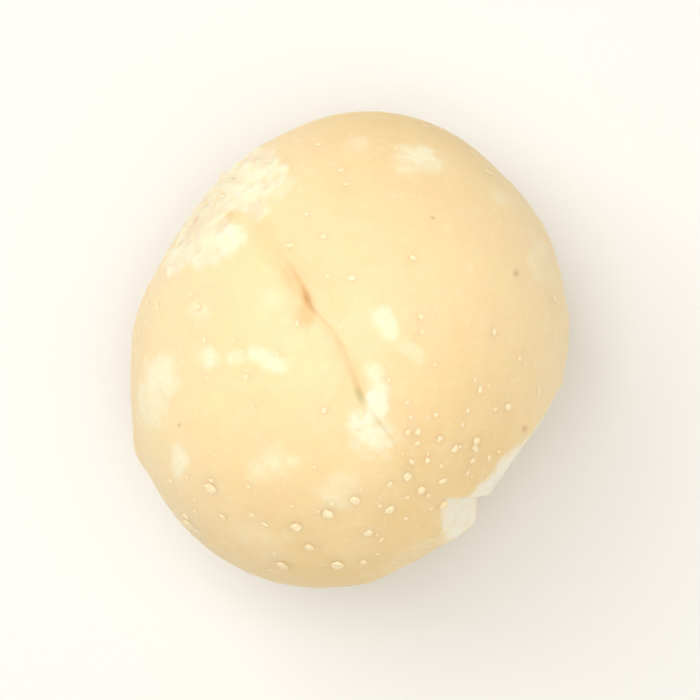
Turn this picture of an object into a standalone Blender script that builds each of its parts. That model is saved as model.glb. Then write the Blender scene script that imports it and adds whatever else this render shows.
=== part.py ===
"""A shelled macadamia kernel: one pale, waxy, nearly round nut, 19 mm long, that lies on a small flat spot.

The whole nut is one solid. A ball of triangles is pushed out or in along the lines from its middle: first to
an ellipsoid, then by soft swells, by the seam between the two halves of the nut, and by the rough scar at one
end of the seam. Blocks then cut off the broken facets near the seam's other end, and the flat spot underneath.

Metres, +Z up. The origin is the middle of the flat spot. The seam runs over the top of the nut and on round
its ends and its underside. The scar is at -X +Y and the broken facets are at +X -Y.
"""

import bmesh
import bpy
import numpy as np
from mathutils import Vector

MM = 0.001

# The ellipsoid: its long radius lies flat, turned from +X towards +Y
LONG_RADIUS = 9.8 * MM
CROSS_RADIUS = 8.5 * MM
UPRIGHT_RADIUS = 8.5 * MM
LONG_TURN = 63.0
FLAT_SPOT_CUT = 0.38 * MM
MIDDLE = np.array((-0.05 * MM, -0.15 * MM, UPRIGHT_RADIUS - FLAT_SPOT_CUT))

# Soft swells and hollows: azimuth and elevation in degrees, angular width in degrees, height
SWELLS = (
    (2, -5, 12, 0.16 * MM),
    (50, 0, 13, -0.26 * MM),
    (90, 5, 16, 0.16 * MM),
    (146, 12, 15, -0.36 * MM),
    (172, 0, 8, 0.10 * MM),
    (205, 0, 6, 0.24 * MM),
    (30, 50, 22, 0.12 * MM),
    (225, 48, 22, 0.10 * MM),
    (120, -42, 26, -0.28 * MM),
    (252, -45, 20, 0.14 * MM),
    (294, 5, 5, -0.16 * MM),
    (335, -52, 20, 0.16 * MM),
)

# The seam: an upright plane through the middle. On top it strays to one side, with a bow and then a bend.
SEAM_TURN = -57.3
SEAM_SIDE = -0.13 * MM
SEAM_BOW = -0.15 * MM
BOW_PLACE = -2.0 * MM
BOW_WIDTH = 0.7 * MM
SEAM_BEND = -0.33 * MM
BEND_START = -0.4 * MM
BEND_END = 1.5 * MM
SEAM_BEND_REACH = 3.0 * MM
SEAM_TOP_SHARE = 0.6
GROOVE_DEPTH = 0.13 * MM
GROOVE_WIDTH = 0.24 * MM

# The crease is the part of the seam on top that lies open, in a wide valley with a step across it
CREASE_START = -4.8 * MM
CREASE_END = 3.4 * MM
CREASE_FADE = 1.2 * MM
VALLEY_DEPTH = 0.22 * MM
VALLEY_WIDTH = 1.5 * MM
HALVES_STEP = 0.06 * MM
# Its dents: place along the seam, half length, half width, depth
DENTS = (
    (-2.75 * MM, 0.80 * MM, 0.30 * MM, 0.32 * MM),
    (1.50 * MM, 0.75 * MM, 0.28 * MM, 0.22 * MM),
)

# The rough scar where the nut joined its shell, as an oval on the rim, and the small point at the seam's end
SCAR_AZIMUTH = 133.0
SCAR_ELEVATION = 20.0
SCAR_HALF_LENGTH = 23.0
SCAR_HALF_HEIGHT = 26.0
SCAR_RELIEF = 0.13 * MM
SCAR_GRAIN = 0.8 * MM
SCAR_SEED = 31
POINT_AZIMUTH = 125.5
POINT_ELEVATION = 6.0
POINT_WIDTH = 1.7
POINT_HEIGHT = 0.28 * MM

# Broken facets: azimuth and tilt of the outward normal in degrees, distance from the middle, and the side of
# the notch's wall that the facet lies on, 1 towards +Y and -1 towards -Y. The wall itself faces -Y.
FACETS = {
    "long_facet": (-34.7, 0.0, 7.82 * MM, 1),
    "long_facet_bevel": (-39.9, 16.0, 8.22 * MM, 1),
    "notch_facet": (0.0, 0.0, 5.18 * MM, -1),
    "notch_facet_bevel": (-22.2, 16.0, 6.88 * MM, -1),
    "low_facet": (-62.0, 2.0, 8.70 * MM, -1),
    "low_facet_bevel": (-61.8, 16.0, 8.78 * MM, -1),
}
NOTCH_WALL_Y = -5.90 * MM

# How finely the ball is divided, everywhere and then around the details
BALL_SUBDIVISIONS = 5
FINE_CREASE = 0.7 * MM
CREASE_SPLITS = 2
SCAR_SPLITS = 2
SEAM_ROWS = (-0.55 * MM, -0.24 * MM, 0.0, 0.24 * MM, 0.55 * MM)
CUTTER_SIZE = 24.0 * MM


def heading(azimuth, elevation=0.0):
    """The unit direction at an azimuth from +X towards +Y and an elevation above the level plane."""
    turn, lift = np.radians((azimuth, elevation))
    return np.array((np.cos(turn) * np.cos(lift), np.sin(turn) * np.cos(lift), np.sin(lift)))


def ease(low, high, value):
    """0 below low, 1 above high, and a smooth rise between them."""
    share = np.clip((value - low) / (high - low), 0, 1)
    return share * share * (3 - 2 * share)


def bell(distance, width):
    """1 at no distance, falling smoothly to nothing over a few widths."""
    return np.exp(-((distance / width) ** 2))


def angle_from(ways, azimuth, elevation):
    """Degrees between each direction and the one given."""
    return np.degrees(np.arccos(np.clip(ways @ heading(azimuth, elevation), -1, 1)))


def unit_ways(points):
    """Points as an array of unit directions."""
    ways = np.array([tuple(point) for point in points])
    return ways / np.linalg.norm(ways, axis=1)[:, None]


def noise(points, size, seed):
    """Smooth noise from -1 to 1: a random value at each corner of a lattice of that size, eased between them."""
    tile = 32
    values = np.random.default_rng(seed).uniform(-1, 1, (tile, tile, tile))
    corner = np.floor(points / size).astype(int)
    share = points / size - corner
    share = share * share * (3 - 2 * share)
    total = np.zeros(len(points))
    for step in np.ndindex(2, 2, 2):
        weight = np.prod(np.where(step, share, 1 - share), axis=1)
        x, y, z = ((corner + step) % tile).T
        total += weight * values[x, y, z]
    return total


def ellipsoid_reach(ways):
    """Distance from the middle to the ellipsoid along each direction."""
    along = ways @ heading(LONG_TURN) / LONG_RADIUS
    across = ways @ heading(LONG_TURN + 90) / CROSS_RADIUS
    return 1 / np.sqrt(along**2 + across**2 + (ways[:, 2] / UPRIGHT_RADIUS) ** 2)


def swell_rise(ways):
    """The sum of the soft swells, each a bell over the angle from its own direction."""
    return sum(height * bell(angle_from(ways, azimuth, elevation), width)
               for azimuth, elevation, width, height in SWELLS)


def seam_stray(points):
    """How far the seam strays sideways on top of the nut: a side step, a bow and a bend along it."""
    along = points @ heading(SEAM_TURN)
    top = ease(0.0, SEAM_TOP_SHARE * UPRIGHT_RADIUS, points[:, 2])
    bow = SEAM_BOW * bell(along - BOW_PLACE, BOW_WIDTH)
    return top * (SEAM_SIDE + bow + SEAM_BEND * ease(BEND_START, BEND_END, along))


def seam_depth(points):
    """The fine groove round the nut, and on top the crease's valley, its dents and the step across it."""
    along = points @ heading(SEAM_TURN)
    side = points @ heading(SEAM_TURN + 90) - seam_stray(points)
    top = ease(0.0, SEAM_TOP_SHARE * UPRIGHT_RADIUS, points[:, 2])
    starts = ease(CREASE_START - CREASE_FADE, CREASE_START + CREASE_FADE, along)
    ends = ease(CREASE_END - CREASE_FADE, CREASE_END + CREASE_FADE, along)
    valley = top * starts * (1 - ends) * bell(side, VALLEY_WIDTH)
    depth = GROOVE_DEPTH * bell(side, GROOVE_WIDTH) + VALLEY_DEPTH * valley
    depth = depth - HALVES_STEP * valley * ease(-GROOVE_WIDTH, GROOVE_WIDTH, side)
    for place, half_length, half_width, deepest in DENTS:
        depth = depth + deepest * top * bell(along - place, half_length) * bell(side, half_width)
    return depth


def scar_share(ways):
    """1 on the rough scar and 0 off it: a soft oval, longer along the rim of the nut than up it."""
    outward = heading(SCAR_AZIMUTH, SCAR_ELEVATION)
    along_rim = heading(SCAR_AZIMUTH + 90)
    up_rim = np.cross(outward, along_rim)
    sideways = np.degrees(ways @ along_rim) / SCAR_HALF_LENGTH
    upwards = np.degrees(ways @ up_rim) / SCAR_HALF_HEIGHT
    return (1 - ease(0.6, 1.0, sideways**2 + upwards**2)) * (ways @ outward > 0)


def scar_rise(ways, points):
    """Uneven grains on the scar, large ones with smaller ones on them, and the small point beside it."""
    grain = noise(points, SCAR_GRAIN, SCAR_SEED) + 0.6 * noise(points, SCAR_GRAIN / 2, SCAR_SEED + 1)
    point = POINT_HEIGHT * bell(angle_from(ways, POINT_AZIMUTH, POINT_ELEVATION), POINT_WIDTH)
    return SCAR_RELIEF * grain * scar_share(ways) + point


def skin_reach(ways):
    """Distance from the middle to the unbroken skin of the nut along each direction."""
    reach = ellipsoid_reach(ways) + swell_rise(ways)
    points = ways * reach[:, None]
    return reach - seam_depth(points) + scar_rise(ways, points)


def edge_middles(ball):
    return unit_ways([edge.verts[0].co + edge.verts[1].co for edge in ball.edges])


def split_edges(ball, chosen):
    """Halve the chosen edges and bring the new corners out to the ball."""
    edges = [edge for edge, wanted in zip(ball.edges, chosen) if wanted]
    bmesh.ops.subdivide_edges(ball, edges=edges, cuts=1, use_grid_fill=True)
    bmesh.ops.triangulate(ball, faces=ball.faces[:])
    for vert in ball.verts:
        vert.co.normalize()


def near_crease(ways):
    """Which directions lie close to the open part of the seam on top."""
    points = ways * ellipsoid_reach(ways)[:, None]
    along = points @ heading(SEAM_TURN)
    side = points @ heading(SEAM_TURN + 90)
    return (np.abs(side) < FINE_CREASE) & (ways[:, 2] > 0) & (along > CREASE_START) & (along < CREASE_END)


def add_seam_rows(ball):
    """Rows of corners on planes beside the seam's own, so that the groove has clean edges."""
    sideways = Vector(heading(SEAM_TURN + 90))
    for offset in SEAM_ROWS:
        geometry = ball.verts[:] + ball.edges[:] + ball.faces[:]
        place = sideways * (offset / CROSS_RADIUS)
        bmesh.ops.bisect_plane(ball, geom=geometry, plane_co=place, plane_no=sideways, dist=0.004)
    bmesh.ops.triangulate(ball, faces=ball.faces[:])


def bent_to_seam(ways):
    """The directions moved sideways on top, so that the rows of corners follow the seam."""
    points = ways * ellipsoid_reach(ways)[:, None]
    sideways = heading(SEAM_TURN + 90)
    shift = seam_stray(points) * bell(points @ sideways, SEAM_BEND_REACH)
    return unit_ways(points + shift[:, None] * sideways)


def divided_ball():
    """A ball of radius 1 made of triangles, with smaller ones on the scar and rows of corners by the seam."""
    ball = bmesh.new()
    bmesh.ops.create_icosphere(ball, subdivisions=BALL_SUBDIVISIONS, radius=1.0)
    for _ in range(CREASE_SPLITS):
        split_edges(ball, near_crease(edge_middles(ball)))
    for _ in range(SCAR_SPLITS):
        split_edges(ball, scar_share(edge_middles(ball)) > 0)
    add_seam_rows(ball)
    return ball


def kernel_material():
    material = bpy.data.materials.new("kernel_flesh")
    material.use_nodes = True
    shader = material.node_tree.nodes["Principled BSDF"]
    shader.inputs["Base Color"].default_value = (0.87, 0.69, 0.40, 1.0)
    shader.inputs["Roughness"].default_value = 0.5
    shader.inputs["Metallic"].default_value = 0.0
    return material


def make_kernel():
    """The unbroken nut: the divided ball with each corner moved out to the skin."""
    ball = divided_ball()
    ways = bent_to_seam(unit_ways([vert.co for vert in ball.verts]))
    points = MIDDLE + ways * skin_reach(ways)[:, None]
    for vert, point in zip(ball.verts, points):
        vert.co = point
    mesh = bpy.data.meshes.new("kernel")
    ball.to_mesh(mesh)
    ball.free()
    mesh.materials.append(kernel_material())
    mesh.shade_smooth()
    kernel = bpy.data.objects.new("kernel", mesh)
    bpy.context.scene.collection.objects.link(kernel)
    return kernel


def cut_with_block(kernel, name, corners):
    """Cut away the block that has these corners."""
    shape = bmesh.new()
    for corner in corners:
        shape.verts.new(corner)
    bmesh.ops.convex_hull(shape, input=shape.verts[:])
    mesh = bpy.data.meshes.new(name)
    shape.to_mesh(mesh)
    shape.free()
    block = bpy.data.objects.new(name, mesh)
    bpy.context.scene.collection.objects.link(block)
    block.hide_render = True
    block.display_type = "WIRE"
    cut = kernel.modifiers.new(name, "BOOLEAN")
    cut.operation = "DIFFERENCE"
    cut.object = block


def cut_facets(kernel):
    """Each facet is the near side of a block, and the end of the block lies in the plane of the notch's wall."""
    for name, (azimuth, tilt, distance, side) in FACETS.items():
        outward = heading(azimuth, tilt)
        level = heading(azimuth + 90)
        upward = np.cross(outward, level)
        corners = []
        for deep, height in ((0, 0.5), (0, -0.5), (1, 0.5), (1, -0.5)):
            edge = MIDDLE + outward * (distance + deep * CUTTER_SIZE) + upward * height * CUTTER_SIZE
            wall_end = edge + level * (NOTCH_WALL_Y - edge[1]) / level[1]
            corners += [wall_end, wall_end + side * level * CUTTER_SIZE]
        cut_with_block(kernel, name, corners)


def cut_flat_spot(kernel):
    """The flat spot is the top side of a block under the nut."""
    half = CUTTER_SIZE / 2
    corners = [(x, y, z) for x in (-half, half) for y in (-half, half) for z in (-half, 0.0)]
    cut_with_block(kernel, "flat_spot", corners)


for leftover in list(bpy.data.objects):
    bpy.data.objects.remove(leftover)
nut = make_kernel()
cut_facets(nut)
cut_flat_spot(nut)
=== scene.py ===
"""The look of one shelled macadamia kernel: waxy skin, open seam, chalky bruises, scar and broken edge.

The skin is a ball of grid lines pushed out from its middle by the same formula as the solid, with the
fine relief added: grains, pits, pimples, the crack in the seam and the torn flakes beside it. What each
place is made of, and where shade is painted at the rim, in the crease and in the scar's hollows, goes into
the mesh as attributes, which the skin's material mixes. Crumbs lie on it.

Metres, in the solid's frame: +Z up, the origin in the middle of the flat spot, the scar at -X +Y.
"""

import bpy
import numpy as np
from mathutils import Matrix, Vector


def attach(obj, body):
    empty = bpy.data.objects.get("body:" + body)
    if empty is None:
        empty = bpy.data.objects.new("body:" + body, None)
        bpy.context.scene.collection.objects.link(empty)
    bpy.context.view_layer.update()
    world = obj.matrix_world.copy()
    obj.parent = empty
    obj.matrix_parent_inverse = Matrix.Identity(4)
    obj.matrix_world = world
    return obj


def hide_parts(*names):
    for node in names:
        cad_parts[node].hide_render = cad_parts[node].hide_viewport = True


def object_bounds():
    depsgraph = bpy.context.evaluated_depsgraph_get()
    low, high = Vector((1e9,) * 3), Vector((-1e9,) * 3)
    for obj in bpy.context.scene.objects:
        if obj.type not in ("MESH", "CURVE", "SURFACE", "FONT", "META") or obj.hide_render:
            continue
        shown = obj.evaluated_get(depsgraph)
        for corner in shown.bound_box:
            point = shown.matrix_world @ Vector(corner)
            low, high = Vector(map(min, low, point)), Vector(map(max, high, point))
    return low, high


MM = 0.001

# The ellipsoid and its soft swells: azimuth, elevation and width in degrees, and height
LONG_RADIUS = 9.8 * MM
CROSS_RADIUS = 8.5 * MM
UPRIGHT_RADIUS = 8.5 * MM
LONG_TURN = 63.0
FLAT_SPOT_CUT = 0.38 * MM
# No direction less steep than this reaches the flat spot
LEAST_STEEP = 0.1
MIDDLE = np.array((-0.05 * MM, -0.15 * MM, UPRIGHT_RADIUS - FLAT_SPOT_CUT))
SWELLS = (
    (2, -5, 12, 0.16 * MM),
    (50, 0, 13, -0.26 * MM),
    (90, 5, 16, 0.16 * MM),
    (146, 12, 15, -0.36 * MM),
    (172, 0, 8, 0.10 * MM),
    (205, 0, 6, 0.24 * MM),
    (30, 50, 22, 0.12 * MM),
    (225, 48, 22, 0.10 * MM),
    (120, -42, 26, -0.28 * MM),
    (252, -45, 20, 0.14 * MM),
    (294, 5, 5, -0.16 * MM),
    (335, -52, 20, 0.16 * MM),
)

# The seam, its groove, and the open crease on top
SEAM_TURN = -57.3
SEAM_SIDE = -0.13 * MM
SEAM_BOW = -0.15 * MM
BOW_PLACE = -2.0 * MM
BOW_WIDTH = 0.7 * MM
SEAM_BEND = -0.33 * MM
BEND_START = -0.4 * MM
BEND_END = 1.5 * MM
SEAM_BEND_REACH = 3.0 * MM
SEAM_TOP_SHARE = 0.6
SEAM_WANDER = 0.05 * MM
GROOVE_DEPTH = 0.06 * MM
GROOVE_WIDTH = 0.24 * MM
GROOVE_LOSS_ON_TOP = 0.7
GROOVE_CHANGE = 0.5
CREASE_START = -4.8 * MM
CREASE_END = 3.4 * MM
CREASE_FADE = 1.2 * MM
VALLEY_DEPTH = 0.22 * MM
VALLEY_WIDTH = 1.5 * MM
HALVES_STEP = 0.06 * MM
CRACK_DEPTH = 0.06 * MM
CRACK_WIDTH = 0.09 * MM
CRACK_CHANGE = 0.25
# How far the crack is open, by the place along the seam in mm
CRACK = (
    (-5.4, 0.0), (-4.4, 0.1), (-3.7, 0.3), (-3.1, 0.35), (-2.85, 0.7), (-2.6, 0.75),
    (-2.3, 0.5), (-1.8, 0.2), (-1.0, 0.15), (0.0, 0.18), (0.8, 0.15), (1.3, 0.22),
    (1.65, 0.28), (2.0, 0.2), (3.5, 0.2), (4.4, 0.0),
)
# Dents: place along the seam, half length, half width, depth
DENTS = (
    (-2.68 * MM, 0.42 * MM, 0.18 * MM, 0.16 * MM),
    (1.50 * MM, 0.38 * MM, 0.13 * MM, 0.11 * MM),
)

# The rough scar and the small point at the seam's end
SCAR_AZIMUTH = 133.0
SCAR_ELEVATION = 20.0
SCAR_HALF_LENGTH = 23.0
SCAR_HALF_HEIGHT = 26.0
SCAR_RELIEF = 0.13 * MM
SCAR_FRAY = 0.30
SCAR_EDGE = (0.6, 1.0)
POINT_AZIMUTH = 125.5
POINT_ELEVATION = 6.0
POINT_WIDTH = 1.4
POINT_HEIGHT = 0.26 * MM

# Broken facets: azimuth and tilt of the outward normal in degrees, distance from the middle, and the side
# of the notch's wall that the facet lies on, 1 towards +Y and -1 towards -Y
FACETS = (
    (-34.7, 0.0, 7.82 * MM, 1),
    (-39.9, 16.0, 8.22 * MM, 1),
    (0.0, 0.0, 5.18 * MM, -1),
    (-22.2, 16.0, 6.88 * MM, -1),
    (-62.0, 2.0, 8.70 * MM, -1),
    (-61.8, 16.0, 8.78 * MM, -1),
)
NOTCH_WALL_Y = -5.90 * MM
FACET_ROUNDING = 0.12 * MM
FACET_RELIEF = 0.06 * MM
FACET_SKIN = 0.13 * MM
FACET_FRAY = 0.04 * MM
FACET_START = 0.02 * MM
# A direction whose cosine to a facet's outward normal is below this misses it, and counts as far off
FLATTEST_MEETING = 0.3
FAR_OFF = 3 * LONG_RADIUS
# The low facet has healed: azimuths where the healing starts and where it is complete, and what stays raw
HEALED_FROM = -59.0
HEALED_TO = -66.0
HEALED_SHARE = 0.08

# Lines of the skin's grid along the seam, across it and upwards, and how they crowd at the seam
LINES_ALONG = 118
LINES_ACROSS = 154
LINES_UP = 112
CROWDING = 3.0
CROWDED_ANGLE = 4.0
FINE_ANGLES = 4001

# Noises over the mesh's points: size, seed, and the number of layers where layered noise hasn't three
WANDER_NOISE = (0.9 * MM, 11)
GROOVE_NOISE = (2.2 * MM, 12)
CRACK_NOISE = (0.5 * MM, 13)
SCAR_EDGE_NOISE = (1.3 * MM, 21)
SCAR_NOISE = (0.8 * MM, 31)
BRUISE_NOISE = (0.7 * MM, 41, 4)
SCAR_WHITE_NOISE = (0.85 * MM, 44)
RIM_SHADE_NOISE = (2.4 * MM, 47)
FLAKE_NOISE = (0.55 * MM, 51)
RAW_NOISE = (0.6 * MM, 55)
STAIN_NOISE = (0.5 * MM, 61)
LUMP_NOISE = (4.0 * MM, 81)
RIPPLE_NOISE = (1.1 * MM, 82)
CHALK_NOISE = (0.34 * MM, 85)
FACET_NOISE = (1.4 * MM, 88, 4)
RIDGE_NOISE = (0.9 * MM, 89)
NOISE_TILE = 32
LAYER_HEIGHT = 0.6

# Seeds of the random draws: hidden bruises, pimples, the crumbs' places and the crumbs' shapes
BRUISE_SEED = 42
PIMPLE_SEED = 71
PLACE_SEED = 91
CRUMB_SEED = 92

# Fine relief of the skin
LUMP_RELIEF = 0.045 * MM
RIPPLE_RELIEF = 0.012 * MM
CHALK_RELIEF = 0.022 * MM
RIDGE_TOP = 0.7
RIDGE_SLOPE = 2
FACET_LUMP_SHARE = 0.7
FACET_RIDGE_SHARE = 0.5
PIMPLE_COUNT = 150
PIMPLE_SIZES = (0.12 * MM, 0.34 * MM)
PIMPLE_RISE = 0.16
# Pores seen from above: x, y and half size in mm
PORES = ((6.59, 3.09, 0.12), (6.95, -3.05, 0.12), (3.3, 5.2, 0.05), (-6.6, -2.9, 0.05))
PORE_DEPTH = 0.10 * MM

# Chalky bruises on top, in mm and degrees: x, y, half length, half width, turn, strength
BRUISES = (
    (2.75, 7.55, 0.90, 0.62, 8, 0.90),
    (0.30, 8.18, 0.42, 0.34, 0, 0.50),
    (1.52, 1.00, 0.62, 0.48, -50, 1.10),
    (2.45, 0.05, 0.60, 0.24, -42, 0.50),
    (-3.20, -0.28, 0.74, 0.34, -28, 1.15),
    (-4.27, -0.21, 0.32, 0.26, 0, 0.80),
    (-5.47, -0.21, 0.36, 0.42, 60, 0.95),
    (-7.27, -0.96, 0.60, 0.80, 0, 0.90),
    (-7.75, -2.10, 0.60, 0.85, 0, 0.70),
    (-6.67, -4.25, 0.38, 0.58, 0, 0.95),
    (-2.93, -4.40, 1.00, 0.65, 0, 0.80),
    (-0.30, -5.45, 0.80, 0.60, 30, 0.50),
    (-3.00, 2.04, 0.42, 0.40, 0, 0.35),
    (-1.73, 3.84, 0.40, 0.34, 0, 0.25),
    (-5.90, 1.60, 0.42, 0.30, 0, 0.50),
    (6.10, 6.00, 0.50, 0.36, -45, 0.40),
    (7.60, 3.60, 0.55, 0.90, 20, 0.50),
    (-3.95, 6.50, 0.90, 0.70, 30, 1.00),
    (-4.60, 4.40, 0.52, 0.46, 0, 1.20),
    (-6.86, 3.80, 0.50, 0.42, 0, 0.90),
    (-2.60, 6.40, 0.50, 0.40, 20, 0.50),
    (2.30, -8.10, 1.70, 0.40, 24, 0.22),
    (-3.20, -7.40, 1.10, 0.60, -20, 0.30),
)
# Bruises out of the photograph's sight: how many, and the ranges of their places, widths and strengths
HIDDEN_BRUISES = 26
HIDDEN_ELEVATIONS = (-60, 5)
HIDDEN_WIDTHS = (2.5, 6.5)
HIDDEN_STRENGTHS = (0.25, 0.75)
BRUISE_FRAY = 0.95
# A patch is full below the first of these squared distances from its middle and gone beyond the second
PATCH_EDGE = (-0.4, 2.2)
# The bare spot on the scar: x, y, half length, half width and turn. Places on the lower half are far off it
BARE_SPOT = (-4.35, 5.22, 0.50, 0.30, -10)
BARE_FRAY = 0.5
BARE_EDGE = (0.2, 1.6)
BARE_FAR_OFF = 9.0
# How white the scar is in the mean, how much that changes, and the noise's range from its rosy hollows,
# which carry painted shade, to its white lumps
SCAR_WHITENESS = 0.9
SCAR_WHITE_CHANGE = 0.5
SCAR_RELIEF_SHADE_RANGE = (-0.7, 0.7)

# Torn flakes beside the lower end of the crease, given like the bruises, and how far they stand up
FLAKES = (
    (1.08, -1.12, 0.74, 0.42, -57, 0.72),
    (1.05, -1.86, 0.45, 0.42, -57, 1.05),
    (0.85, -2.42, 0.85, 0.42, 30, 1.20),
    (0.92, -3.15, 1.00, 0.85, -57, 0.80),
)
FLAKE_HEIGHT = 0.05 * MM
FLAKE_FRAY = 0.7

# Painted warm shade and bounce light on the skin, mostly at the rim: azimuth, elevation and width in
# degrees, strength
RIM_SHADE_PARTS = (
    (-85, 8, 42, 1.20),
    (-42, 42, 28, 0.80),
    (78, 8, 33, 0.95),
    (190, 0, 30, 0.45),
    (30, -35, 50, 0.60),
)
RIM_SHADE_MEAN = 0.85
RIM_SHADE_CHANGE = 0.3

# Brown stains by the dents, and painted shade along the crease: x, y, half length, half width in mm, turn,
# strength
STAINS_AND_CREASE_SHADE = (
    (-1.66, 2.02, 0.32, 0.18, -50, 0.80),
    (-1.66, 1.42, 0.42, 0.50, 0, 0.85),
    (-1.95, 2.60, 1.15, 0.42, -57, 0.55),
    (-1.45, 2.90, 1.90, 1.00, -57, 0.24),
    (-3.10, 4.20, 1.50, 0.50, -55, 0.30),
    (-4.50, 5.35, 0.30, 0.22, 0, 0.35),
    (-0.35, 0.20, 1.60, 0.30, -57, 0.26),
)
OLIVE_STAINS = (
    (0.43, -1.74, 0.34, 0.15, -62, 1.05),
    (0.14, -1.10, 0.50, 0.13, -68, 0.25),
    (1.20, -2.75, 0.80, 0.10, -50, 0.45),
    (-4.64, 5.32, 0.16, 0.14, 0, 0.55),
)
STAIN_FRAY = 0.3

# Crumbs of meal seen from above: x, y and half size in mm
CRUMBS = (
    (4.90, -3.62, 0.15), (4.87, -3.92, 0.13), (5.45, -4.33, 0.15), (7.44, -1.56, 0.13),
    (2.24, -5.00, 0.15), (1.57, -6.28, 0.17), (0.74, -7.18, 0.15), (-0.50, -8.53, 0.18),
    (-2.63, -8.60, 0.22), (-2.10, -6.95, 0.13), (-0.86, -6.43, 0.15), (-3.83, -6.50, 0.16),
    (-5.40, -5.45, 0.17), (-6.30, -7.10, 0.20), (-6.05, -7.30, 0.15), (-7.35, -6.05, 0.17),
    (5.54, 0.62, 0.13), (5.50, 6.98, 0.14), (-7.65, 1.59, 0.13), (-5.92, 1.59, 0.13),
    (8.10, 1.96, 0.12), (2.75, -5.55, 0.12), (3.05, -5.75, 0.11), (2.40, -4.40, 0.11),
    (3.60, -5.20, 0.12), (3.67, -6.22, 0.16), (4.60, -4.90, 0.11), (3.00, -4.35, 0.10),
    (1.55, -5.30, 0.11), (0.20, -5.90, 0.12), (-4.95, -6.60, 0.13), (-1.60, -7.80, 0.14),
    (0.50, -8.40, 0.14), (6.60, -0.40, 0.10), (6.15, -2.30, 0.11),
)
# Small crumbs everywhere, fewer on the +Y side, and grains on the scar: counts, and half sizes in mm
SCATTERED_CRUMBS = 520
SCATTERED_SIZES = (0.03, 0.10)
CLEAN_SIDE_SHARE = 0.35
DUSTY_SIDE = (0.3, -0.5)
SCAR_CRUMBS = 50
SCAR_CRUMB_SIZES = (0.04, 0.11)
SCAR_CRUMB_SPREAD = 0.22
# Crumbs are left out where the crack's share is above the first, and where they would lie under the nut,
# in directions that point down more steeply than the second
CRACK_LIMIT = 0.02
LOWEST_CRUMB = -0.9
# Each crumb's stretch along its axes, and the unevenness of its corners
CRUMB_STRETCH = (0.6, 1.3)
CRUMB_UNEVENNESS = (0.75, 1.2)
CRUMB_SEGMENTS = 7
CRUMB_RINGS = 3
CRUMB_GROWTH = 1.5
CRUMB_FLATNESS = 0.36
CRUMB_SINKING = 0.10

# The camera: the share of the picture's height that the nut takes up, the lens and the sensor in mm, and
# the nearest distance that it sees
NUT_SHARE = 0.68
LENS = 200.0
SENSOR = 36.0
NEAREST_SEEN = 0.005

# The studio: the floor's reach, the sky's tint and strength, and each soft light's place, size and watts
FLOOR_REACH = 1.5
SKY_TINT = (1.0, 0.95, 0.84, 1.0)
SKY_STRENGTH = 0.53
WHITE_LIGHT = (1.0, 1.0, 1.0)
WARM_LIGHT = (1.0, 0.95, 0.87)
LIGHTS = (
    ("softbox_above", (0.0, 0.0, 0.26), 0.16, 0.27, WHITE_LIGHT),
    ("softbox_behind", (-0.11, 0.09, 0.19), 0.16, 0.20, WHITE_LIGHT),
    ("softbox_beside", (0.13, -0.09, 0.035), 0.12, 0.042, WARM_LIGHT),
)


def heading(azimuth, elevation=0.0):
    """The unit direction at an azimuth from +X towards +Y and an elevation above the level plane."""
    turn, lift = np.radians((azimuth, elevation))
    return np.array((np.cos(turn) * np.cos(lift), np.sin(turn) * np.cos(lift), np.sin(lift)))


def ease(low, high, value):
    """0 below low, 1 above high, and a smooth rise between them."""
    share = np.clip((value - low) / (high - low), 0, 1)
    return share * share * (3 - 2 * share)


def bell(distance, width):
    """1 at no distance, falling smoothly to nothing over a few widths."""
    return np.exp(-((distance / width) ** 2))


def unit(points):
    """Each row of the array scaled to length 1."""
    return points / np.linalg.norm(points, axis=1)[:, None]


def angle_from(ways, azimuth, elevation):
    """Degrees between each direction and the one given."""
    return np.degrees(np.arccos(np.clip(ways @ heading(azimuth, elevation), -1, 1)))


def smooth_least(first, second, rounding):
    """The smaller of two distances, with the corner between them rounded."""
    share = np.clip(0.5 + 0.5 * (second - first) / rounding, 0, 1)
    return second + (first - second) * share - rounding * share * (1 - share)


def noise(points, size, seed):
    """Smooth noise from -1 to 1: a random value at each corner of a lattice, eased between the corners."""
    values = np.random.default_rng(seed).uniform(-1, 1, (NOISE_TILE, NOISE_TILE, NOISE_TILE))
    corner = np.floor(points / size).astype(int)
    share = points / size - corner
    share = share * share * (3 - 2 * share)
    total = np.zeros(len(points))
    for step in np.ndindex(2, 2, 2):
        weight = np.prod(np.where(step, share, 1 - share), axis=1)
        x, y, z = ((corner + step) % NOISE_TILE).T
        total += weight * values[x, y, z]
    return total


def layered_noise(points, size, seed, layers=3):
    """Noise on noise: each layer half the size and a bit over half the height of the one before."""
    return sum(LAYER_HEIGHT**layer * noise(points, size / 2**layer, seed + layer)
               for layer in range(layers))


def ellipsoid_reach(ways):
    """Distance from the middle to the ellipsoid along each direction."""
    along = ways @ heading(LONG_TURN) / LONG_RADIUS
    across = ways @ heading(LONG_TURN + 90) / CROSS_RADIUS
    return 1 / np.sqrt(along**2 + across**2 + (ways[:, 2] / UPRIGHT_RADIUS) ** 2)


def swell_rise(ways):
    """The sum of the soft swells, each a bell over the angle from its own direction."""
    return sum(height * bell(angle_from(ways, azimuth, elevation), width)
               for azimuth, elevation, width, height in SWELLS)


def top_share(points):
    """0 on the lower half of the nut, rising to 1 on top."""
    return ease(0.0, SEAM_TOP_SHARE * UPRIGHT_RADIUS, points[:, 2])


def seam_stray(points):
    """How far the seam strays sideways on top of the nut: a side step, a bow and a bend along it."""
    along = points @ heading(SEAM_TURN)
    bow = SEAM_BOW * bell(along - BOW_PLACE, BOW_WIDTH)
    return top_share(points) * (SEAM_SIDE + bow + SEAM_BEND * ease(BEND_START, BEND_END, along))


def off_seam(points):
    """How far each point lies to the side of the seam's line, which wanders a little."""
    side = points @ heading(SEAM_TURN + 90) - seam_stray(points)
    return side + SEAM_WANDER * noise(points, *WANDER_NOISE)


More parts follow.
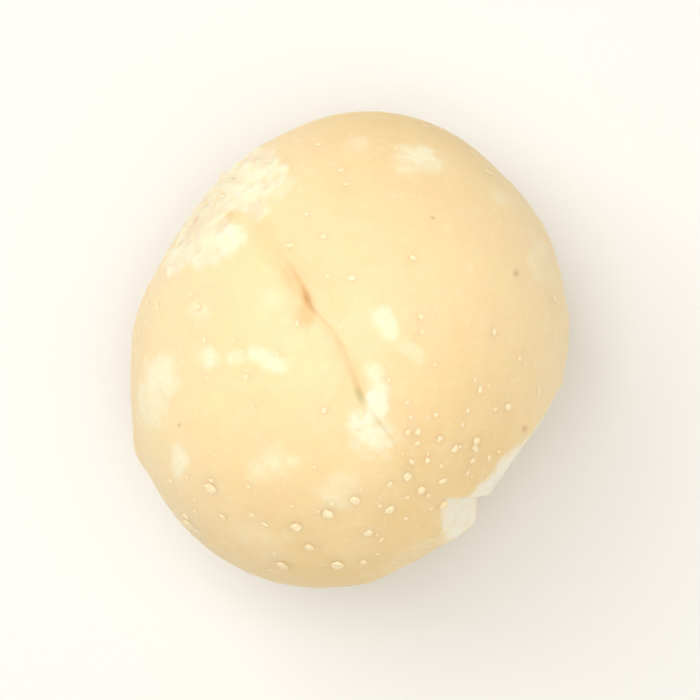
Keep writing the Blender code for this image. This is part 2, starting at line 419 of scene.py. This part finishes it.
def crease_share(points):
    """1 along the open crease on top, fading at its ends."""
    along = points @ heading(SEAM_TURN)
    starts = ease(CREASE_START - CREASE_FADE, CREASE_START + CREASE_FADE, along)
    ends = ease(CREASE_END - CREASE_FADE, CREASE_END + CREASE_FADE, along)
    return top_share(points) * starts * (1 - ends)


def crack_share(points):
    """1 at the bottom of the crack in the open crease where it gapes most, less where it is narrow."""
    along = points @ heading(SEAM_TURN) / MM
    places, openings = np.transpose(CRACK)
    opening = np.interp(along, places, openings) * (1 + CRACK_CHANGE * noise(points, *CRACK_NOISE))
    return top_share(points) * opening * bell(off_seam(points), CRACK_WIDTH)


def seam_depth(points):
    """The groove round the nut, and on top the crease's valley, crack and dents and the step across it."""
    along = points @ heading(SEAM_TURN)
    side = off_seam(points)
    crease = crease_share(points)
    groove = GROOVE_DEPTH * (1 - GROOVE_LOSS_ON_TOP * top_share(points))
    groove = groove * (1 + GROOVE_CHANGE * noise(points, *GROOVE_NOISE))
    depth = groove * bell(side, GROOVE_WIDTH) + VALLEY_DEPTH * crease * bell(side, VALLEY_WIDTH)
    depth -= HALVES_STEP * crease * ease(-GROOVE_WIDTH, GROOVE_WIDTH, side) * bell(side, VALLEY_WIDTH)
    depth += CRACK_DEPTH * crack_share(points)
    for place, half_length, half_width, deepest in DENTS:
        depth += deepest * top_share(points) * bell(along - place, half_length) * bell(side, half_width)
    return depth


def scar_share(ways):
    """1 on the rough scar and 0 off it: a frayed oval, longer along the rim of the nut than up it."""
    outward = heading(SCAR_AZIMUTH, SCAR_ELEVATION)
    along_rim = heading(SCAR_AZIMUTH + 90)
    up_rim = np.cross(outward, along_rim)
    sideways = np.degrees(ways @ along_rim) / SCAR_HALF_LENGTH
    upwards = np.degrees(ways @ up_rim) / SCAR_HALF_HEIGHT
    fray = SCAR_FRAY * layered_noise(ways * CROSS_RADIUS, *SCAR_EDGE_NOISE)
    return (1 - ease(*SCAR_EDGE, sideways**2 + upwards**2 + fray)) * (ways @ outward > 0)


def scar_rise(ways, points):
    """Grains on the scar, large ones with smaller ones on them, and the small point beside it."""
    grain = layered_noise(points, *SCAR_NOISE)
    point = POINT_HEIGHT * bell(angle_from(ways, POINT_AZIMUTH, POINT_ELEVATION), POINT_WIDTH)
    return SCAR_RELIEF * grain * scar_share(ways) + point


def plane_reach(ways, azimuth, tilt, distance):
    """Distance from the middle to a plane along each direction, far off where a direction misses it."""
    facing = ways @ heading(azimuth, tilt)
    reach = distance / np.maximum(facing, FLATTEST_MEETING)
    return np.where(facing > FLATTEST_MEETING, reach, FAR_OFF)


def broken_reach(ways, reach):
    """The nut cut by its broken facets, each on its own side of the plane of the notch's wall."""
    wall = plane_reach(ways, -90, 0, MIDDLE[1] - NOTCH_WALL_Y)
    for azimuth, tilt, distance, side in FACETS:
        plane = plane_reach(ways, azimuth, tilt, distance)
        if side > 0:
            cut = np.where(plane < wall, plane, FAR_OFF)
        else:
            cut = np.maximum(plane, wall)
        reach = smooth_least(reach, cut, FACET_ROUNDING)
    return reach


def skin_reach(ways):
    """Distance from the middle to the unbroken skin of the nut, its relief left out."""
    reach = ellipsoid_reach(ways) + swell_rise(ways)
    points = ways * reach[:, None]
    return reach - seam_depth(points) + scar_rise(ways, points)


def way_above(x, y):
    """The direction from the middle to the skin over a place seen from above, given in mm."""
    level = np.array((x, y)) * MM - MIDDLE[:2]
    along = level @ heading(LONG_TURN)[:2] / LONG_RADIUS
    across = level @ heading(LONG_TURN + 90)[:2] / CROSS_RADIUS
    height = UPRIGHT_RADIUS * np.sqrt(max(1 - along**2 - across**2, 0.0))
    return unit(np.array([(*level, height)]))[0]


def oval(points, x, y, half_length, half_width, turn):
    """Squared distance from an oval's middle, 1 on its rim, seen from above; sizes in mm."""
    level = points[:, :2] - np.array((x, y)) * MM
    along = level @ heading(turn)[:2] / (half_length * MM)
    across = level @ heading(turn + 90)[:2] / (half_width * MM)
    return along**2 + across**2


def ovals_share(points, ovals, fray):
    """How much of the skin the nearest oval seen from above covers, its edge frayed by noise."""
    share = np.zeros(len(points))
    for x, y, half_length, half_width, turn, strength in ovals:
        far = oval(points, x, y, half_length, half_width, turn) + fray
        share = np.maximum(share, strength * (1 - ease(*PATCH_EDGE, far)) * (points[:, 2] > 0))
    return share


def chalk_share(ways, points):
    """How chalky each place is: the bruises on top and those scattered out of the photograph's sight."""
    fray = BRUISE_FRAY * layered_noise(points, *BRUISE_NOISE)
    chalk = ovals_share(points, BRUISES, fray)
    chance = np.random.default_rng(BRUISE_SEED)
    for _ in range(HIDDEN_BRUISES):
        azimuth, elevation = chance.uniform(0, 360), chance.uniform(*HIDDEN_ELEVATIONS)
        width, strength = chance.uniform(*HIDDEN_WIDTHS), chance.uniform(*HIDDEN_STRENGTHS)
        far = (angle_from(ways, azimuth, elevation) / width) ** 2 + fray
        chalk = np.maximum(chalk, strength * (1 - ease(*PATCH_EDGE, far)))
    return chalk * bare_spot(points, fray)


def bare_spot(points, fray):
    """0 on the spot of the scar that is neither chalky nor white, 1 off it."""
    far = oval(points, *BARE_SPOT) + BARE_FRAY * fray
    return ease(*BARE_EDGE, np.where(points[:, 2] > 0, far, BARE_FAR_OFF))


def scar_whiteness(ways, points):
    """How white the scar is: lumps of pale flesh on it, fading out beyond its edge."""
    lumps = SCAR_WHITENESS + SCAR_WHITE_CHANGE * layered_noise(points, *SCAR_WHITE_NOISE)
    return np.clip(scar_share(ways) * lumps, 0, 1) * bare_spot(points, 0)


def painted_rim_shade_share(ways, points):
    """Painted warm shade on the skin: soft parts at the rim, their depth uneven."""
    parts = [strength * bell(angle_from(ways, azimuth, elevation), width)
             for azimuth, elevation, width, strength in RIM_SHADE_PARTS]
    return np.max(parts, axis=0) * (RIM_SHADE_MEAN + RIM_SHADE_CHANGE * layered_noise(points, *RIM_SHADE_NOISE))


def pore_share(points):
    """1 in the middle of each pore seen from above, 0 off them."""
    pores = np.zeros(len(points))
    for x, y, radius in PORES:
        far = np.sqrt(oval(points, x, y, radius, radius, 0))
        pores = np.maximum(pores, bell(far, 1.0) * (points[:, 2] > 0))
    return pores


def pimple_rise(ways):
    """Small blisters on the skin: bells at random places, each a share of its own size high."""
    chance = np.random.default_rng(PIMPLE_SEED)
    rise = np.zeros(len(ways))
    for place in unit(chance.normal(size=(PIMPLE_COUNT, 3))):
        size = chance.uniform(*PIMPLE_SIZES)
        gap = np.degrees(np.arccos(np.clip(ways @ place, -1, 1)))
        rise += PIMPLE_RISE * size * bell(gap, np.degrees(size / CROSS_RADIUS))
    return rise


def relief(ways, points, chalk, raw):
    """Lumps, ripples and pores everywhere, pimples on the skin, grains on chalk, ridges on broken flesh."""
    rise = LUMP_RELIEF * noise(points, *LUMP_NOISE) + RIPPLE_RELIEF * layered_noise(points, *RIPPLE_NOISE)
    rise += pimple_rise(ways) * (1 - raw)
    rise += CHALK_RELIEF * chalk * layered_noise(points, *CHALK_NOISE)
    lumps = layered_noise(points, *FACET_NOISE)
    ridges = RIDGE_TOP - RIDGE_SLOPE * np.abs(noise(points, *RIDGE_NOISE))
    rise += FACET_RELIEF * raw * (FACET_LUMP_SHARE * lumps + FACET_RIDGE_SHARE * ridges)
    return rise - PORE_DEPTH * pore_share(points)


def raw_share(ways, cut, points):
    """1 where the nut is broken deeper than its skin, less on the low facet, which has healed over."""
    frayed = cut + FACET_FRAY * layered_noise(points, *RAW_NOISE)
    azimuth = np.degrees(np.arctan2(ways[:, 1], ways[:, 0]))
    fresh = HEALED_SHARE + (1 - HEALED_SHARE) * ease(HEALED_TO, HEALED_FROM, azimuth)
    return fresh * ease(0.0, FACET_SKIN, frayed) * ease(0.0, FACET_START, cut)


def kernel_surface(ways):
    """Points of the finished skin from the middle, along each direction, what each is made of, and where
    shade is painted.
    """
    whole = skin_reach(ways)
    reach = broken_reach(ways, whole)
    points = ways * reach[:, None]
    raw = raw_share(ways, whole - reach, points)
    chalk = chalk_share(ways, points) * (1 - raw)
    flake = ovals_share(points, FLAKES, FLAKE_FRAY * layered_noise(points, *FLAKE_NOISE))
    frayed = STAIN_FRAY * layered_noise(points, *STAIN_NOISE)
    reach = reach + relief(ways, points, chalk, raw) + FLAKE_HEIGHT * flake
    down = np.maximum(-ways[:, 2], LEAST_STEEP)
    reach = np.minimum(reach, MIDDLE[2] / down)
    shares = {
        "chalk": chalk,
        "scar": scar_whiteness(ways, points),
        # Painted warm shade towards the rim
        "painted_rim_shade": painted_rim_shade_share(ways, points),
        # Painted shade: 0 in the scar's hollows and 1 on its lumps, from the same noise as the scar's
        # relief
        "scar_relief_shade": ease(*SCAR_RELIEF_SHADE_RANGE, layered_noise(points, *SCAR_NOISE)),
        "flake": flake,
        "raw": raw,
        # Real stains, and painted shade along the crease's valley
        "stain_and_crease_shade": ovals_share(points, STAINS_AND_CREASE_SHADE, frayed),
        "olive": ovals_share(points, OLIVE_STAINS, frayed),
        # Brown at the bottom of the crack and in the pores, partly painted shade in these recesses
        "crack_brown_and_shade": np.maximum(pore_share(points), crack_share(points)),
    }
    return ways * reach[:, None], shares


def line_angles(count, crowding):
    """Angles from -45 to 45 degrees, crowded round 0: places at equal steps of the summed density."""
    fine = np.linspace(-45, 45, FINE_ANGLES)
    density = 1 + crowding * bell(fine, CROWDED_ANGLE)
    run = np.cumsum(density)
    return np.interp(np.linspace(run[0], run[-1], count + 1), run, fine)


def box_ball(along, across, up):
    """Directions and four-sided faces of a ball: a box's six sides of grid lines, blown out to a ball."""
    axes = np.array((heading(SEAM_TURN), heading(SEAM_TURN + 90), (0, 0, 1)))
    lines = [np.tan(np.radians(angles)) for angles in (along, across, up)]
    ways, faces, start = [], [], 0
    for out in range(3):
        first, second = (out + 1) % 3, (out + 2) % 3
        one, two = np.meshgrid(lines[first], lines[second], indexing="ij")
        rows, columns = one.shape
        index = np.arange(rows * columns).reshape(rows, columns)
        corners = (index[:-1, :-1], index[1:, :-1], index[1:, 1:], index[:-1, 1:])
        quads = np.stack(corners, axis=-1).reshape(-1, 4)
        for sign in (1, -1):
            side = sign * axes[out] + one[..., None] * axes[first] + two[..., None] * axes[second]
            ways.append(side.reshape(-1, 3))
            faces.append((quads if sign > 0 else quads[:, ::-1]) + start)
            start += rows * columns
    ways, faces = unit(np.concatenate(ways)), np.concatenate(faces)
    _, first_place, merged = np.unique(np.round(ways, 7), axis=0, return_index=True, return_inverse=True)
    return ways[first_place], merged.reshape(-1)[faces]


def bent_to_seam(ways):
    """The directions moved sideways on top, so that the crowded lines follow the seam."""
    points = ways * ellipsoid_reach(ways)[:, None]
    sideways = heading(SEAM_TURN + 90)
    shift = seam_stray(points) * bell(points @ sideways, SEAM_BEND_REACH)
    return unit(points + shift[:, None] * sideways)


def mesh_piece(name, points, faces, shares=None):
    """An object at the origin from points, faces of one size, and a number per point for each share."""
    mesh = bpy.data.meshes.new(name)
    mesh.vertices.add(len(points))
    mesh.vertices.foreach_set("co", points.astype(np.float32).ravel())
    sides = faces.shape[1]
    mesh.loops.add(faces.size)
    mesh.loops.foreach_set("vertex_index", faces.astype(np.int32).ravel())
    mesh.polygons.add(len(faces))
    mesh.polygons.foreach_set("loop_start", np.arange(0, faces.size, sides, dtype=np.int32))
    for share, values in (shares or {}).items():
        mesh.attributes.new(share, "FLOAT", "POINT").data.foreach_set("value", values.astype(np.float32))
    mesh.update(calc_edges=True)
    mesh.validate()
    mesh.shade_smooth()
    piece = bpy.data.objects.new(name, mesh)
    bpy.context.scene.collection.objects.link(piece)
    return piece


def make_skin():
    """The nut's skin: a ball of grid lines, each point pushed out to the finished surface."""
    along = line_angles(LINES_ALONG, 0.0)
    across = line_angles(LINES_ACROSS, CROWDING)
    up = line_angles(LINES_UP, 0.0)
    ways, faces = box_ball(along, across, up)
    points, shares = kernel_surface(bent_to_seam(ways))
    return mesh_piece("kernel_skin", points + MIDDLE, faces, shares)


def crumb_places():
    """Directions and half sizes of the crumbs: those seen from above, some all over, more on the scar."""
    chance = np.random.default_rng(PLACE_SEED)
    seen = np.array([way_above(x, y) for x, y, _ in CRUMBS])
    scattered = unit(chance.normal(size=(SCATTERED_CRUMBS, 3)))
    dusty = CLEAN_SIDE_SHARE + (1 - CLEAN_SIDE_SHARE) * ease(*DUSTY_SIDE, scattered[:, 1])
    scattered = scattered[chance.uniform(size=SCATTERED_CRUMBS) < dusty]
    spread = SCAR_CRUMB_SPREAD * chance.normal(size=(SCAR_CRUMBS, 3))
    scar = unit(heading(SCAR_AZIMUTH, SCAR_ELEVATION) + spread)
    ways = np.concatenate((seen, scattered, scar))
    small = chance.uniform(*SCATTERED_SIZES, len(scattered)) * MM
    grains = chance.uniform(*SCAR_CRUMB_SIZES, SCAR_CRUMBS) * MM
    sizes = np.concatenate((np.array([size for _, _, size in CRUMBS]) * MM, small, grains))
    in_crack = crack_share(ways * ellipsoid_reach(ways)[:, None]) > CRACK_LIMIT
    kept = (ways[:, 2] > LOWEST_CRUMB) & ~in_crack
    return ways[kept], sizes[kept]


def make_crumbs():
    """The crumbs: small balls of rings and segments, stretched, dented, turned, flattened and sunk in."""
    ways, sizes = crumb_places()
    chance = np.random.default_rng(CRUMB_SEED)
    count = len(ways)
    places = kernel_surface(ways)[0] + MIDDLE
    rings = np.linspace(0, np.pi, CRUMB_RINGS + 2)[1:-1]
    turns = np.arange(CRUMB_SEGMENTS) * 2 * np.pi / CRUMB_SEGMENTS
    ring, turn = np.meshgrid(rings, turns, indexing="ij")
    ball = np.stack((np.sin(ring) * np.cos(turn), np.sin(ring) * np.sin(turn), np.cos(ring)), -1)
    ball = np.concatenate((ball.reshape(-1, 3), [(0, 0, 1), (0, 0, -1)]))
    shape = ball * chance.uniform(*CRUMB_STRETCH, (count, 1, 3))
    shape = shape * chance.uniform(*CRUMB_UNEVENNESS, (count, len(ball), 1))
    spin = np.linalg.qr(chance.normal(size=(count, 3, 3)))[0]
    spin *= np.sign(np.linalg.det(spin))[:, None, None]
    shape = shape @ spin
    rise = np.einsum("cpa,ca->cp", shape, ways)
    shape -= (1 - CRUMB_FLATNESS) * rise[..., None] * ways[:, None]
    shape = CRUMB_GROWTH * shape - CRUMB_SINKING * ways[:, None]
    points = places[:, None] + sizes[:, None, None] * shape
    faces = crumb_faces(len(ball))
    faces = (faces + (np.arange(count) * len(ball))[:, None, None]).reshape(-1, 3)
    meal = mesh_piece("nut_meal", points.reshape(-1, 3), faces)
    meal.data.shade_flat()
    return meal


def crumb_faces(corners):
    """Triangles of a ball of rings and segments whose last two corners are its poles."""
    index = np.arange(corners - 2).reshape(CRUMB_RINGS, CRUMB_SEGMENTS)
    after = np.roll(index, -1, axis=1)
    top = np.full(CRUMB_SEGMENTS, corners - 2)
    bottom = np.full(CRUMB_SEGMENTS, corners - 1)
    blocks = (
        (index[:-1], index[1:], after[1:]),
        (index[:-1], after[1:], after[:-1]),
        (index[0], after[0], top),
        (after[-1], index[-1], bottom),
    )
    return np.concatenate([np.stack(block, -1).reshape(-1, 3) for block in blocks])


class Number:
    """A socket with a number, for use in expressions: each operation adds its Math node."""

    def __init__(self, finish, socket):
        self.finish = finish
        self.socket = socket

    def with_math(self, operation, first, second):
        """The outcome of a Math node on two numbers or sockets."""
        node = self.finish.node("ShaderNodeMath", {"operation": operation}, {0: first, 1: second})
        return Number(self.finish, node.outputs[0])

    def __add__(self, other):
        return self.with_math("ADD", self, other)

    def __sub__(self, other):
        return self.with_math("SUBTRACT", self, other)

    def __rsub__(self, other):
        return self.with_math("SUBTRACT", other, self)

    def __mul__(self, other):
        return self.with_math("MULTIPLY", self, other)

    __radd__ = __add__
    __rmul__ = __mul__


class Finish:
    """A material with a Principled shader, and short ways to add the nodes that feed it."""

    def __init__(self, name):
        self.material = bpy.data.materials.new(name)
        self.material.use_nodes = True
        self.tree = self.material.node_tree
        self.shader = self.tree.nodes["Principled BSDF"]
        self.places = self.node("ShaderNodeTexCoord").outputs["Object"]

    def node(self, kind, settings=None, inputs=None):
        """A node of that kind, its settings made first, then its sockets set or linked."""
        node = self.tree.nodes.new(kind)
        for setting, value in (settings or {}).items():
            setattr(node, setting, value)
        for name, value in (inputs or {}).items():
            self.feed(node.inputs[name], value)
        return node

    def feed(self, socket, value):
        """Links another node's socket to this one, or sets a plain value on it."""
        if isinstance(value, Number):
            value = value.socket
        if isinstance(value, bpy.types.NodeSocket):
            self.tree.links.new(value, socket)
        else:
            socket.default_value = value

    def share(self, name):
        """The mesh's attribute of that name."""
        node = self.node("ShaderNodeAttribute", {"attribute_name": name})
        return Number(self, node.outputs["Fac"])

    def grain(self, size, detail, roughness):
        """Noise from 0 to 1 with features of that size in metres."""
        inputs = {"Vector": self.places, "Scale": 1 / size, "Detail": detail, "Roughness": roughness}
        return Number(self, self.node("ShaderNodeTexNoise", None, inputs).outputs["Fac"])

    def ease(self, value, low, high):
        """0 below low, 1 above high, and a smooth rise between them."""
        settings = {"interpolation_type": "SMOOTHSTEP"}
        inputs = {"Value": value, "From Min": low, "From Max": high}
        return Number(self, self.node("ShaderNodeMapRange", settings, inputs).outputs["Result"])

    def mix(self, share, first, second):
        """A colour between two others."""
        node = self.node("ShaderNodeMix", {"data_type": "RGBA"})
        for socket, value in ((node.inputs[0], share), (node.inputs[6], first), (node.inputs[7], second)):
            self.feed(socket, value)
        return node.outputs[2]

    def set(self, **values):
        """The shader's sockets, by name with spaces as underscores."""
        for name, value in values.items():
            self.feed(self.shader.inputs[name.replace("_", " ")], value)


def colour(red, green, blue):
    """A colour with full cover, as a socket takes it."""
    return (red, green, blue, 1.0)


CREAM = colour(0.92, 0.73, 0.45)
YELLOW_CREAM = colour(0.92, 0.75, 0.44)
WARM_CREAM = colour(0.90, 0.68, 0.38)
# Painted warm shade, mixed in towards the rim
RIM_SHADE_CREAM = colour(0.84, 0.625, 0.30)
CHALK = colour(0.96, 0.83, 0.58)
BRUISE_WHITE = colour(0.98, 0.87, 0.64)
FLAKE_WHITE = colour(0.97, 0.91, 0.72)
# Rosy flesh toned as painted shade, for the scar's hollows
SCAR_ROSE_SHADE = colour(0.94, 0.77, 0.56)
SCAR_WHITE = colour(0.96, 0.86, 0.62)
RAW_CREAM = colour(0.98, 0.84, 0.64)
RAW_FLESH = colour(0.99, 0.90, 0.76)
CRUMB_CREAM = colour(0.95, 0.77, 0.48)
CRUMB_WHITE = colour(0.97, 0.84, 0.59)
# Brown of the stains, also used as painted shade along the crease
STAIN_AND_SHADE_BROWN = colour(0.78, 0.49, 0.18)
OLIVE_BROWN = colour(0.56, 0.54, 0.26)
# Brown of the crack and pores, partly painted shade in these recesses
CRACK_BROWN_AND_SHADE = colour(0.50, 0.31, 0.12)
FLOOR_WHITE = colour(0.86, 0.86, 0.86)

# Noises of the finishes: size, detail and roughness
FRAY_GRAIN = (0.22 * MM, 3.0, 0.65)
MOTTLE_GRAIN = (2.6 * MM, 2.0, 0.5)
WARM_GRAIN = (0.9 * MM, 3.0, 0.5)
SPECK_GRAIN = (0.40 * MM, 3.0, 0.6)
DUST_GRAIN = (0.12 * MM, 2.0, 0.5)
FLESH_GRAIN = (0.8 * MM, 4.0, 0.6)
PIT_GRAIN = (0.14 * MM, 3.0, 0.7)
MEAL_GRAIN = (0.5 * MM, 2.0, 0.5)

# Where a noise or a share starts to show, and where it shows in full
MOTTLE_RANGE = (0.35, 0.7)
WARM_RANGE = (0.4, 0.8)
SPECK_RANGE = (0.5, 0.75)
DUST_RANGE = (0.55, 0.75)
FLESH_RANGE = (0.3, 0.65)
SCAR_RANGE = (0.0, 0.9)
FLAKE_RANGE = (0.0, 1.0)

# How much the fine fray changes each share
FRAYS = {"chalk": 1.5, "scar": 1.0, "flake": 0.9, "raw": 0.8, "stain_and_crease_shade": 0.5, "olive": 0.5}

# How far each colour covers what is under it
MOTTLE_COVER = 0.8
WARM_COVER = 0.4
SPECK_COVER = 0.30
DUST_COVER = 0.18
WHITE_COVER = 0.95
STAIN_AND_SHADE_COVER = 0.75
OLIVE_COVER = 0.6
CRACK_SHADE_COVER = 0.5

# Roughness and depth of the fine pits: the plain skin's, and what each kind of place adds
SKIN_ROUGHNESS = 0.46
ADDED_ROUGHNESS = {"chalk": 0.3, "scar": 0.2, "raw": 0.1}
SKIN_PITS = 0.3
ADDED_PITS = {"chalk": 0.6, "scar": 0.9, "raw": 1.1}
BUMP_STRENGTH = 0.35
BUMP_DISTANCE = 0.05 * MM

# Oily shine of the broken flesh and of the skin, and how far light goes under the skin
RAW_COAT = 0.6
COAT_ROUGHNESS = 0.4
SKIN_SHINE = 0.35
UNDER_SKIN_WEIGHT = 0.8
UNDER_SKIN_SCALE = 1.4 * MM
UNDER_SKIN_COLOURS = (1.0, 0.8, 0.5)

MEAL_ROUGHNESS = 0.8
MEAL_SHINE = 0.2
FLOOR_ROUGHNESS = 0.9
FLOOR_SHINE = 0.1


def skin_finish():
    """Waxy cream skin, mottled, with painted warm shade at the rim, under chalk, scar, flakes, broken
    flesh, stains and painted shade in the crease.
    """
    finish = Finish("waxy_skin")
    fray = finish.grain(*FRAY_GRAIN) - 0.5
    parts = {name: finish.share(name) * (fray * change + 1) for name, change in FRAYS.items()}
    parts["scar"] = finish.ease(parts["scar"], *SCAR_RANGE)
    parts["flake"] = finish.ease(parts["flake"], *FLAKE_RANGE)
    mottle = finish.ease(finish.grain(*MOTTLE_GRAIN), *MOTTLE_RANGE)
    warmth = finish.ease(finish.grain(*WARM_GRAIN), *WARM_RANGE)
    specks = finish.ease(finish.grain(*SPECK_GRAIN), *SPECK_RANGE)
    dust = finish.ease(finish.grain(*DUST_GRAIN), *DUST_RANGE)
    flesh = finish.ease(finish.grain(*FLESH_GRAIN), *FLESH_RANGE)
    skin = finish.mix(mottle * MOTTLE_COVER, CREAM, YELLOW_CREAM)
    skin = finish.mix(warmth * WARM_COVER, skin, WARM_CREAM)
    # Painted warm shade and bounce light towards the rim
    skin = finish.mix(finish.share("painted_rim_shade"), skin, RIM_SHADE_CREAM)
    skin = finish.mix(specks * SPECK_COVER + dust * DUST_COVER, skin, CHALK)
    # The scar's hollows are painted rosier and duller, as shade that follows its relief
    scar_colour = finish.mix(finish.share("scar_relief_shade"), SCAR_ROSE_SHADE, SCAR_WHITE)
    skin = finish.mix(parts["scar"] * WHITE_COVER, skin, scar_colour)
    skin = finish.mix(parts["chalk"] * WHITE_COVER, skin, BRUISE_WHITE)
    skin = finish.mix(parts["flake"] * WHITE_COVER, skin, FLAKE_WHITE)
    skin = finish.mix(parts["raw"] * WHITE_COVER, skin, finish.mix(flesh, RAW_CREAM, RAW_FLESH))
    # Stains, and painted shade along the crease's valley
    skin = finish.mix(parts["stain_and_crease_shade"] * STAIN_AND_SHADE_COVER, skin, STAIN_AND_SHADE_BROWN)
    skin = finish.mix(parts["olive"] * OLIVE_COVER, skin, OLIVE_BROWN)
    # The crack and the pores painted browner, partly as shade in these recesses
    skin = finish.mix(finish.share("crack_brown_and_shade") * CRACK_SHADE_COVER, skin, CRACK_BROWN_AND_SHADE)
    roughness = sum((parts[name] * added for name, added in ADDED_ROUGHNESS.items()), SKIN_ROUGHNESS)
    depth = sum((parts[name] * added for name, added in ADDED_PITS.items()), SKIN_PITS)
    height = finish.grain(*PIT_GRAIN) * depth
    inputs = {"Strength": BUMP_STRENGTH, "Distance": BUMP_DISTANCE, "Height": height}
    bump = finish.node("ShaderNodeBump", None, inputs)
    finish.set(Base_Color=skin, Roughness=roughness, Normal=bump.outputs["Normal"],
               Coat_Weight=parts["raw"] * RAW_COAT, Coat_Roughness=COAT_ROUGHNESS,
               Specular_IOR_Level=SKIN_SHINE, Subsurface_Weight=UNDER_SKIN_WEIGHT,
               Subsurface_Scale=UNDER_SKIN_SCALE, Subsurface_Radius=UNDER_SKIN_COLOURS)
    return finish.material


def meal_finish():
    """Dull cream crumbs, some whiter than others."""
    finish = Finish("nut_meal")
    tint = finish.mix(finish.grain(*MEAL_GRAIN), CRUMB_CREAM, CRUMB_WHITE)
    finish.set(Base_Color=tint, Roughness=MEAL_ROUGHNESS, Specular_IOR_Level=MEAL_SHINE)
    return finish.material


def floor_finish():
    """Plain pale floor, dull."""
    finish = Finish("pale_floor")
    finish.set(Base_Color=FLOOR_WHITE, Roughness=FLOOR_ROUGHNESS, Specular_IOR_Level=FLOOR_SHINE)
    return finish.material


def make_floor():
    """One level square under the nut."""
    corners = FLOOR_REACH * np.array(((-1, -1, 0), (1, -1, 0), (1, 1, 0), (-1, 1, 0)))
    floor = mesh_piece("floor", corners, np.array(((0, 1, 2, 3),)))
    floor.data.materials.append(floor_finish())


def add_light(name, place, size, watts, tint):
    """A square soft light that faces the nut's middle."""
    light = bpy.data.lights.new(name, "AREA")
    light.shape = "SQUARE"
    light.size = size
    light.energy = watts
    light.color = tint
    lamp = bpy.data.objects.new(name, light)
    lamp.location = place
    lamp.rotation_euler = (Vector(MIDDLE) - Vector(place)).to_track_quat("-Z", "Y").to_euler()
    bpy.context.scene.collection.objects.link(lamp)


def make_world():
    """An even, slightly warm light from all round."""
    world = bpy.data.worlds.new("studio")
    world.use_nodes = True
    sky = world.node_tree.nodes["Background"]
    sky.inputs["Color"].default_value = SKY_TINT
    sky.inputs["Strength"].default_value = SKY_STRENGTH
    bpy.context.scene.world = world


def make_camera(low, high):
    """A camera straight over the nut, as far off as its share of the picture asks."""
    camera = bpy.data.cameras.new("camera")
    camera.lens = LENS
    camera.sensor_width = SENSOR
    camera.clip_start = NEAREST_SEEN
    distance = (high.y - low.y) / NUT_SHARE * LENS / SENSOR
    middle = (low + high) / 2
    eye = bpy.data.objects.new("camera", camera)
    eye.location = (middle.x, middle.y, middle.z + distance)
    bpy.context.scene.collection.objects.link(eye)
    bpy.context.scene.camera = eye


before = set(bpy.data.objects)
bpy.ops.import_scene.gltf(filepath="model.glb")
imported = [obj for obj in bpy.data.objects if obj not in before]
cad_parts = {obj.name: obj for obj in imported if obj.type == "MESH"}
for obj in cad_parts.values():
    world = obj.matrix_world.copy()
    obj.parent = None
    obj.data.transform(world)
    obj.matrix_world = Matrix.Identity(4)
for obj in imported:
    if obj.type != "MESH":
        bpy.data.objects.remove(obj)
cad_low, cad_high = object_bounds()
make_camera(cad_low, cad_high)

skin = make_skin()
skin.data.materials.append(skin_finish())
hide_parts("kernel")
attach(skin, "root")

meal = make_crumbs()
meal.data.materials.append(meal_finish())
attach(meal, "root")

make_floor()
make_world()
for light in LIGHTS:
    add_light(*light)
bpy.context.scene.view_settings.view_transform = "Standard"
